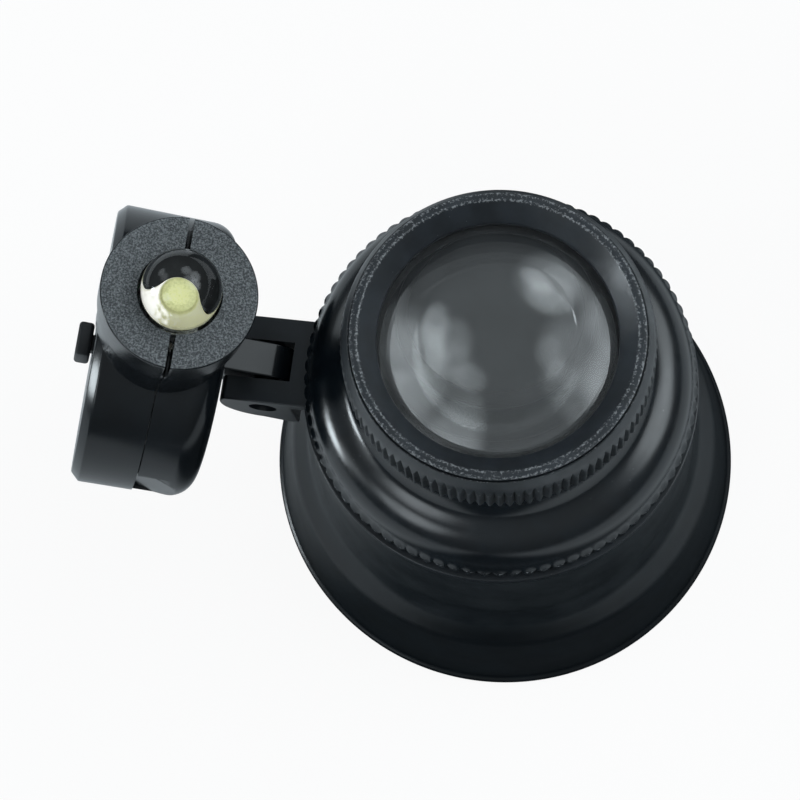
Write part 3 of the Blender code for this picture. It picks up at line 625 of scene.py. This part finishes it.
def make_lens_barrel():
    low = CLAMP_HIGH + 0.3
    knurl_low = low + 0.15
    crest, root = 8.8, 8.55
    shoulder = rounded(
        [(SEAT_RADIUS - 0.05, BARREL_HIGH - 0.05), (SEAT_RADIUS + 0.06, BARREL_HIGH),
         (SHOULDER_RADIUS, SHOULDER_Z), (KNURL_TOP_RADIUS, KNURL_TOP)], 0.3, False, 6,
    )
    blend_end = 0.1
    shoulder = [spot for spot in shoulder if spot[1] > SHOULDER_Z - blend_end]
    share = blend_end / (SHOULDER_Z - KNURL_TOP)
    blended = Vector((SHOULDER_RADIUS, SHOULDER_Z)).lerp(Vector((KNURL_TOP_RADIUS, KNURL_TOP)), share)
    runout = along(blended, (KNURL_TOP_RADIUS, KNURL_TOP), 6)
    knurl = along((KNURL_TOP_RADIUS, KNURL_TOP), (BARREL_RADIUS, knurl_low), 5)
    foot = [(BARREL_RADIUS - 0.1, low + 0.08), (BARREL_RADIUS - 0.35, low), (crest, low)]
    tube = []
    crests = int((low - 0.6 - BARREL_LOW) / THREAD_PITCH)
    for i in range(crests):
        z = low - 0.5 - i * THREAD_PITCH
        tube += [(crest, z), (crest, z - 0.2), (root, z - 0.42), (root, z - 0.5)]
    seat_z = 37.55
    inner = [(8.6, BARREL_LOW), (8.1, BARREL_LOW), (8.1, seat_z), (SEAT_RADIUS - 0.07, seat_z)]
    profile = shoulder + runout + knurl + foot + tube + inner
    barrel = turned("lens_barrel_fine", profile, LOUPE, FINE_GROOVES * 10, True, fine_groove)
    edges = [
        (BARREL_RADIUS, knurl_low, 0.22), (KNURL_TOP_RADIUS, KNURL_TOP, 0.3),
        (SEAT_RADIUS, BARREL_HIGH, 0.12),
    ]
    metal = anodised_metal("barrel_look", (0.024, 0.027, 0.03), 0.36, edges)
    stands_for(barrel, "barrel_body", "lens_barrel", "barrel_metal", metal)


def make_rings():
    lip = RIM_LOW + 0.4
    rim = [
        (RIM_RADIUS + 0.05, RIM_HIGH), (RIM_RADIUS + 0.05, RIM_LOW), (CLEAR_RADIUS, RIM_LOW),
        (CLEAR_RADIUS, lip), (RIM_LIP_RADIUS, RIM_HIGH),
    ]
    front = turned("front_ring_fine", rounded(rim, 0.09), LOUPE)
    edges = [(RIM_RADIUS, RIM_HIGH, 0.5), (RIM_LIP_RADIUS, RIM_HIGH, 0.45)]
    metal = anodised_metal("front_ring_look", (0.010, 0.013, 0.017), 0.4, edges)
    stands_for(front, "lens_cell", "front_retaining_ring", "ring_metal", metal)

    matt = anodised_metal("matt_black_look", (0.012, 0.012, 0.013), 0.55, [])
    low, high = turned_size("lens_spacer")[:2]
    spacer = [(LENS_RADIUS, high), (LENS_RADIUS, low), (7.2, low), (7.2, high)]
    tube = turned("lens_spacer_fine", rounded(spacer, 0.08), LOUPE)
    stands_for(tube, "lens_cell", "lens_spacer", "spacer_metal", matt)

    low, high = turned_size("rear_retaining_ring")[:2]
    rear = [(LENS_RADIUS, high), (LENS_RADIUS, low), (7.4, low), (7.0, high)]
    ring = turned("rear_ring_fine", rounded(rear, 0.08), LOUPE)
    stands_for(ring, "lens_cell", "rear_retaining_ring", "ring_metal", matt)


def sag(radius):
    """How far a lens face drops from its middle to this radius."""
    return LENS_CURVE - math.sqrt(LENS_CURVE**2 - radius**2)


def make_lens(node, glass):
    """A biconvex lens with a small bevel on its ground edge."""
    bottom, top = turned_size(node)[:2]
    count = 28
    face_radius = LENS_RADIUS - 0.12
    radii = [face_radius * i / count for i in range(count + 1)]
    upper = [(radius, top - sag(radius)) for radius in radii]
    lower = [(radius, bottom + sag(radius)) for radius in reversed(radii)]
    rim = [(LENS_RADIUS, upper[-1][1] - 0.1), (LENS_RADIUS, lower[0][1] + 0.1)]
    lens = turned(node + "_fine", upper + rim + lower, LOUPE, 160, False)
    stands_for(lens, "lens_cell", node, "optical_glass", *glass)
    for face in lens.data.polygons:
        face.material_index = 0 if node == "front_lens" and face.normal.z > 0.5 else 1


def pin_hole():
    """The cutter for the hinge pin's hole."""
    reach = 6.0
    outline = [(0.0, reach), (PIN_HOLE_RADIUS, reach), (PIN_HOLE_RADIUS, -reach), (0.0, -reach)]
    return turned("hole", outline, ALONG_PIN, 48, False)


def make_bracket():
    ring = rounded([(14.0, RING_HIGH), (14.0, RING_LOW), (11.5, RING_LOW), (11.5, RING_HIGH)], 0.12)
    bracket = turned("bracket_arm_fine", ring, LOUPE, 192)
    pivot_x = (PIVOT.x - AXIS_X) / MM
    pivot_z = PIVOT.z / MM
    start = 180.0 - math.degrees(math.asin((RING_HIGH - pivot_z) / ARM_NOSE_RADIUS))
    nose = arc((pivot_x, pivot_z), ARM_NOSE_RADIUS, start, 262.0, 24)
    outline = [(-12.8, RING_LOW + 0.05), (-12.8, RING_HIGH)] + nose
    outline += [(-15.45, 20.3), (-14.75, 20.5), (-14.75, RING_LOW + 0.05)]
    arm = new_piece("arm", prism_mesh("arm", outline, ARM_HALF, "Y", 0.14), LOUPE)
    slot = box_piece("slot", (-22.0, -FORK_SLOT_HALF, 19.0), (-14.95, FORK_SLOT_HALF, 28.0), LOUPE)
    cut(bracket, ("UNION", arm), ("DIFFERENCE", slot), ("DIFFERENCE", pin_hole()))
    soften(bracket, 0.06, 50.0)
    plastic = moulded_plastic("bracket_look", (0.011, 0.0135, 0.0165), 0.3, 0.004, 0.3)
    stands_for(bracket, "bracket", "bracket_arm", "bracket_plastic", plastic)

    chamfer = 0.15
    upper = [(0.0, PIN_HALF), (PIN_RADIUS - chamfer, PIN_HALF), (PIN_RADIUS, PIN_HALF - chamfer)]
    lower = [(radius, -height) for radius, height in reversed(upper)]
    rod = turned("hinge_pin_fine", rounded(upper + lower, 0.08, False), ALONG_PIN, 64, False)
    steel = brushed_metal("pin_look", (0.09, 0.09, 0.095), 0.4)
    stands_for(rod, "bracket", "hinge_pin", "pin_steel", steel)


# ---------------------------------------------------------------- the lamp


def across_drum(name, profile, steps, closed=False):
    """A turned piece about the drum's own axis, the lamp's X."""
    return turned(name, profile, LAMP @ Matrix.Rotation(math.pi / 2, 4, "Y"), steps, closed)


def lamp_half(name, side):
    """One shell of the lamp: -1 is the outer half, +1 the half next to the loupe."""
    collar_radius, collar_low = HEAD_RADIUS - 0.01, HEAD_TOP - COLLAR_HEIGHT
    neck_low = 6.0
    head = [
        (0.0, HEAD_TOP), (collar_radius, HEAD_TOP), (collar_radius, collar_low), (NECK_RADIUS, collar_low),
        (NECK_RADIUS, neck_low + 2.2), (DRUM_INNER - 0.2, neck_low), (0.0, neck_low),
    ]
    shell = turned(name, rounded(head, 0.14, False), LAMP, 160, False)
    edge = 1.9
    rim = arc((DRUM_RADIUS - edge, DRUM_INNER - edge), edge, 90.0, 0.0, 12)
    outer_rim = rounded(
        [(DRUM_RADIUS, 0.0), (DRUM_RADIUS, -DRUM_OUTER + DRUM_CHAMFER),
         (DRUM_RADIUS - DRUM_CHAMFER, -DRUM_OUTER), (0.0, -DRUM_OUTER)], 0.1, False,
    )
    drum = across_drum("drum", [(0.0, DRUM_INNER)] + rim + outer_rim, 224)
    pocket = across_drum(
        "pocket",
        [(0.0, POCKET_INNER), (POCKET_RADIUS, POCKET_INNER), (POCKET_RADIUS, -POCKET_OUTER),
         (0.0, -POCKET_OUTER)], 128,
    )
    step = LED_FOOT + 1.15
    bore = turned(
        "bore",
        [(0.0, HEAD_TOP + 2.0), (LAMP_HOLE, HEAD_TOP + 2.0), (LAMP_HOLE, step), (NECK_BORE, step),
         (NECK_BORE, 5.0), (0.0, 5.0)], LAMP, 96, False,
    )
    far = 26.0
    span = (-SEAM_HALF, far) if side < 0 else (-far, SEAM_HALF)
    half = box_piece("half", (span[0], -far, -far), (span[1], far, far), LAMP)
    slit_low = HEAD_TOP - COLLAR_HEIGHT + 0.9
    slit = box_piece("slit", (-SLIT_HALF, -far, slit_low), (SLIT_HALF, far, far), LAMP)
    return cut(
        shell, ("UNION", drum), ("DIFFERENCE", pocket), ("DIFFERENCE", bore), ("DIFFERENCE", half),
        ("DIFFERENCE", slit),
    )


def wear_faces(piece, gloss, sparked):
    """Gives the lamp's flat top face its own rougher material."""
    piece.data.materials.append(gloss)
    piece.data.materials.append(sparked)
    for face in piece.data.polygons:
        on_top = face.center.z > (HEAD_TOP - 0.03) * MM and face.normal.z > 0.95
        face.material_index = 1 if on_top else 0


def make_lamp_shells():
    gloss = moulded_plastic("housing_look", (0.0035, 0.005, 0.0066), 0.17, 0.0015, 0.2)
    sparked = sparked_face("lamp_face_look")

    outer = lamp_half("lamp_cover_fine", -1)
    slot = box_piece("slot", (-6.0, -0.75, -1.65), (-2.0, 0.75, 1.65), LAMP)
    cut(outer, ("DIFFERENCE", slot))
    soften(outer, 0.05, 60.0)
    stands_for(outer, "lamp_cover", "lamp_outer_shell", "housing_plastic")
    wear_faces(outer, gloss, sparked)

    inner = lamp_half("lamp_base_fine", 1)
    root = DRUM_INNER - 0.4
    end = arc((PIVOT_X, PIVOT_Z), TONGUE_RADIUS, 90.0, -90.0, 24)
    outline = [(root, PIVOT_Z - TONGUE_RADIUS), (root, PIVOT_Z + TONGUE_RADIUS)] + end
    tongue = new_piece("tongue", prism_mesh("tongue", outline, TONGUE_HALF, "Y", 0.12), LAMP)
    below = -DRUM_RADIUS - 1.0
    notch_outline = [
        (0.0, below), (NOTCH_LENGTH, below), (NOTCH_LENGTH, -DRUM_RADIUS), (0.0, NOTCH_DEPTH - DRUM_RADIUS),
    ]
    notch_place = LAMP @ Matrix.Translation((0.0, 0.0, 0.1 * MM))
    notch = new_piece("notch", prism_mesh("notch", notch_outline, NOTCH_HALF), notch_place)
    cut(inner, ("UNION", tongue), ("DIFFERENCE", pin_hole()), ("DIFFERENCE", notch))
    soften(inner, 0.05, 60.0)
    stands_for(inner, "lamp_base", "lamp_inner_shell", "housing_plastic")
    wear_faces(inner, gloss, sparked)


def make_led_dome():
    dome = arc((0.0, LED_STRAIGHT_TOP), LED_RADIUS, 90.0, 0.0, 36)
    flange_top = LED_FOOT + 1.0
    body = dome + rounded(
        [(LED_RADIUS, LED_STRAIGHT_TOP - 0.1), (LED_RADIUS, flange_top), (LED_FLANGE_RADIUS, flange_top),
         (LED_FLANGE_RADIUS, LED_FOOT), (0.0, LED_FOOT)], 0.06, False,
    )
    lens = turned("led_dome_fine", body, LAMP, 128, False)
    resin = clear_material("led_resin_look", (0.97, 0.985, 0.97), 1.53, 0.02)
    stands_for(lens, "lamp_cover", "led_lens", "led_resin", resin)


def make_led_frame():
    """The silvered lead frame inside the dome: a cup on a stem, a foot and the second post."""
    low, high = EMITTER_LOW, EMITTER_HIGH
    cup_low = high - 1.3
    stem = [
        (0.0, cup_low), (0.6, cup_low), (0.7, cup_low - 0.2), (0.5, cup_low - 0.6), (0.5, low), (0.0, low),
    ]
    chip = turned("led_emitter_fine", rounded(stem, 0.04, False), LAMP, 96, False)
    post = box_piece("post", (0.9, -0.9, low), (1.25, -0.45, high - 0.7), LAMP, 0.05)
    foot = box_piece("foot", (-0.3, -0.8, low), (1.1, 0.3, low + 0.4), LAMP, 0.05)
    cut(chip, ("UNION", foot), ("UNION", post))
    silver = brushed_metal("reflector_look", (0.72, 0.72, 0.68), 0.3)
    stands_for(chip, "lamp_cover", "led_emitter", "phosphor", silver)


def make_phosphor():
    """The phosphor gel that fills the cup and stands a little above it."""
    high, low = EMITTER_HIGH, EMITTER_HIGH - PHOSPHOR_DEPTH
    fill = [
        (0.0, high + 0.05), (0.4, high + 0.03), (0.58, high - 0.06), (PHOSPHOR_RADIUS, high - 0.3),
        (PHOSPHOR_RADIUS, low), (0.0, low),
    ]
    gel = turned("led_phosphor_fine", rounded(fill, 0.04, False), LAMP, 64, False)
    gel.data.materials.append(phosphor_material())
    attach(gel, "lamp_cover")


def make_led_shade_plate():
    """A dark plate under the lead frame, a painted shade: it stands in for the shade inside the dome, so
    that the dome looks dark round the phosphor.
    """
    radius, top = 2.35, EMITTER_LOW - 0.1
    plate = [(0.0, top), (radius, top), (radius, top - 0.3), (0.0, top - 0.3)]
    base = turned("led_shade_plate_fine", rounded(plate, 0.05, False), LAMP, 96, False)
    base.data.materials.append(moulded_plastic("led_shade_plate_look", (0.006, 0.007, 0.009), 0.5, 0.004, 0.0))
    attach(base, "lamp_cover")


def make_knob():
    low = (KNOB_FACE - KNOB_HEIGHT, -KNOB_HALF_WIDTH, KNOB_MIDDLE - KNOB_HALF_LENGTH)
    high = (KNOB_FACE, KNOB_HALF_WIDTH, KNOB_MIDDLE + KNOB_HALF_LENGTH)
    knob = box_piece("switch_knob_fine", low, high, LAMP, 0.26)
    stem_low = (-DRUM_OUTER - 0.5, -0.6, KNOB_MIDDLE - 0.5)
    stem_high = (-POCKET_OUTER + 0.05, 0.6, KNOB_MIDDLE + 0.5)
    stem = box_piece("stem", stem_low, stem_high, LAMP)
    cut(knob, ("UNION", stem))
    plastic = moulded_plastic("knob_look", (0.009, 0.01, 0.012), 0.42, 0.008, 0.4)
    stands_for(knob, "switch_slider", "switch_knob", "knob_plastic", plastic)


def make_cells():
    """Coin cells with a stepped crimp and a rounded can edge."""
    steel = brushed_metal("cell_look", (0.74, 0.74, 0.73), 0.24, (26000.0, 3000.0, 3000.0))
    for node, top in (("battery_cell_inner", 3.1), ("battery_cell_outer", 0.95)):
        low = top - CELL_THICK
        profile = [
            (0.0, top), (6.5, top), (6.75, top - 0.22), (7.2, top - 0.28), (7.45, top - 0.12),
            (7.8, top - 0.16), (CELL_RADIUS, top - 0.5), (CELL_RADIUS, low + 0.25),
            (CELL_RADIUS - 0.23, low), (0.0, low),
        ]
        cell = across_drum(node + "_fine", rounded(profile, 0.1, False), 128)
        stands_for(cell, "lamp_base", node, "cell_steel", steel)


def dress_cad_nodes():
    """Procedural materials for the inner pieces whose CAD shape is kept."""
    nickel = brushed_metal("contact_look", (0.66, 0.63, 0.56), 0.25)
    looks = {
        "circuit_board": board_material(),
        "resistor": moulded_plastic("resistor_look", (0.02, 0.02, 0.022), 0.45, 0.01, 0.0),
        "switch_body": brushed_metal("switch_look", (0.62, 0.62, 0.62), 0.3),
        "positive_contact": nickel,
        "negative_contact": nickel,
        "led_lead_positive": brushed_metal("lead_look", (0.7, 0.7, 0.68), 0.28),
    }
    looks["led_lead_negative"] = looks["led_lead_positive"]
    for node, material in looks.items():
        piece = frame["nodes"][node]
        if not piece.material_slots:
            piece.data.materials.append(material)
        for holder in piece.material_slots:
            holder.material = material


# ---------------------------------------------------------------- stage


# Soft light panels round the loupe: azimuth, elevation, core and edge half angles, radiance
PANELS = [
    (5.0, 40.0, 6.0, 20.0, 3.0),
    (35.0, 36.0, 5.0, 18.0, 2.2),
    (24.0, 57.0, 5.0, 19.0, 1.6),
    (68.0, 46.0, 4.0, 16.0, 1.8),
    (236.0, 38.0, 5.0, 17.0, 3.0),
    (206.0, 26.0, 3.0, 11.0, 1.3),
    (160.0, 48.0, 3.0, 14.0, 1.0),
    (150.0, 32.0, 3.0, 12.0, 1.2),
    (195.0, 12.0, 6.0, 9.0, 16.0),
]


def make_floor():
    """A plain white table, pale in the camera. In reflections it is dark near the loupe's middle, a painted
    shade of the loupe on the table, and pale to its left and right."""
    work = bmesh.new()
    bmesh.ops.create_grid(work, x_segments=8, y_segments=8, size=1.2)
    mesh = bpy.data.meshes.new("floor")
    work.to_mesh(mesh)
    work.free()
    floor = new_piece("floor", mesh, Matrix.Translation((0.0, 0.0, -0.00005)))
    look = Shader("floor_look")
    tone = look.ramp(look.noise(0.02, 3.0), 0.3, 0.7, 0.78, 0.8)
    paper = look.nodes.new("ShaderNodeCombineColor")
    for socket in paper.inputs[:3]:
        look.links.new(tone, socket)
    look.set(Base_Color=paper.outputs[0], Roughness=0.9, Specular_IOR_Level=0.1)
    glow = look.nodes.new("ShaderNodeEmission")
    glow.inputs["Strength"].default_value = 1.02
    # Painted shade: off camera the table is dark between these ranges, round the loupe's middle
    across = look.math("SUBTRACT", look.axis(0), AXIS_X / MM)
    left, right = look.ramp(across, -13.0, -28.0), look.ramp(across, 20.0, 45.0)
    sides = look.math("MAXIMUM", left, right)
    dim = look.nodes.new("ShaderNodeBsdfDiffuse")
    look.plug(look.mix(sides, (0.06, 0.065, 0.07), (0.8, 0.81, 0.82)), dim.inputs["Color"])
    glow_share = 0.9
    seen = look.nodes.new("ShaderNodeMixShader")
    seen.inputs[0].default_value = glow_share
    look.links.new(look.surface.outputs[0], seen.inputs[1])
    look.links.new(glow.outputs[0], seen.inputs[2])
    pick = look.nodes.new("ShaderNodeMixShader")
    path = look.nodes.new("ShaderNodeLightPath")
    look.links.new(path.outputs["Is Camera Ray"], pick.inputs[0])
    look.links.new(dim.outputs[0], pick.inputs[1])
    look.links.new(seen.outputs[0], pick.inputs[2])
    look.links.new(pick.outputs[0], look.nodes["Material Output"].inputs["Surface"])
    floor.data.materials.append(look.material)


def make_world():
    """A white backdrop for the camera. In reflections it is a dim room with soft bright panels."""
    world = bpy.data.worlds.new("room")
    bpy.context.scene.world = world
    world.use_nodes = True
    nodes, links = world.node_tree.nodes, world.node_tree.links
    room = nodes["Background"]
    white = nodes.new("ShaderNodeBackground")
    white.inputs["Color"].default_value = (1.0, 1.0, 1.0, 1.0)
    direction = nodes.new("ShaderNodeTexCoord").outputs["Generated"]
    parts = nodes.new("ShaderNodeSeparateXYZ")
    links.new(direction, parts.inputs[0])
    dim, bright = 0.12, 0.34
    light = map_range(nodes, links, parts.outputs["Z"], -0.1, 0.85, dim, bright)
    for azimuth, elevation, core, edge, strength in PANELS:
        turn, rise = math.radians(azimuth), math.radians(elevation)
        aimed = nodes.new("ShaderNodeVectorMath")
        aimed.operation = "DOT_PRODUCT"
        links.new(direction, aimed.inputs[0])
        aimed.inputs[1].default_value = (
            math.cos(turn) * math.cos(rise), math.sin(turn) * math.cos(rise), math.sin(rise)
        )
        panel = map_range(
            nodes, links, aimed.outputs["Value"], math.cos(math.radians(edge)),
            math.cos(math.radians(core)), 0.0, strength,
        )
        total = nodes.new("ShaderNodeMath")
        total.operation = "ADD"
        links.new(light, total.inputs[0])
        links.new(panel, total.inputs[1])
        light = total.outputs[0]
    room.inputs["Color"].default_value = (0.86, 0.95, 1.0, 1.0)
    links.new(light, room.inputs["Strength"])
    pick = nodes.new("ShaderNodeMixShader")
    path = nodes.new("ShaderNodeLightPath")
    links.new(path.outputs["Is Camera Ray"], pick.inputs[0])
    links.new(room.outputs[0], pick.inputs[1])
    links.new(white.outputs[0], pick.inputs[2])
    links.new(pick.outputs[0], nodes["World Output"].inputs["Surface"])


def map_range(nodes, links, value, low, high, out_low, out_high):
    node = nodes.new("ShaderNodeMapRange")
    node.interpolation_type = "SMOOTHSTEP"
    links.new(value, node.inputs["Value"])
    for key, number in (("From Min", low), ("From Max", high), ("To Min", out_low), ("To Max", out_high)):
        node.inputs[key].default_value = number
    return node.outputs["Result"]


def make_camera():
    """Almost straight down the lens, leaning a little to the front and turned on its axis."""
    azimuth, elevation, roll = (math.radians(angle) for angle in (25.0, 76.0, -18.2))
    distance = 108.7 * MM
    back = Vector((
        math.sin(azimuth) * math.cos(elevation),
        -math.cos(azimuth) * math.cos(elevation),
        math.sin(elevation),
    ))
    level_right = Vector((math.cos(azimuth), math.sin(azimuth), 0.0))
    level_up = back.cross(level_right)
    right = level_right * math.cos(roll) + level_up * math.sin(roll)
    up = back.cross(right)
    target = Vector((AXIS_X - 7.09 * MM, -1.46 * MM, 24.0 * MM))
    data = bpy.data.cameras.new("camera")
    data.lens = 67.5
    data.clip_start, data.clip_end = 0.005, 10.0
    camera = bpy.data.objects.new("camera", data)
    bpy.context.scene.collection.objects.link(camera)
    turn = Matrix((right, up, back)).transposed().to_4x4()
    camera.matrix_world = Matrix.Translation(target + back * distance) @ turn
    bpy.context.scene.camera = camera


make_eye_cup()
make_clamp_ring()
make_lens_barrel()
make_rings()
glass = (
    clear_material("lens_front_look", (0.985, 0.99, 0.985), 1.6, 0.012, 0.035),
    clear_material("lens_coated_look", (0.985, 0.99, 0.985), 1.6, 0.008, 0.0, 0.22),
)
make_lens("front_lens", glass)
make_lens("rear_lens", glass)
make_bracket()
make_lamp_shells()
make_led_dome()
make_led_frame()
make_phosphor()
make_led_shade_plate()
make_knob()
make_cells()
dress_cad_nodes()
make_floor()
make_world()
make_camera()
bpy.context.scene.view_settings.view_transform = "Standard"
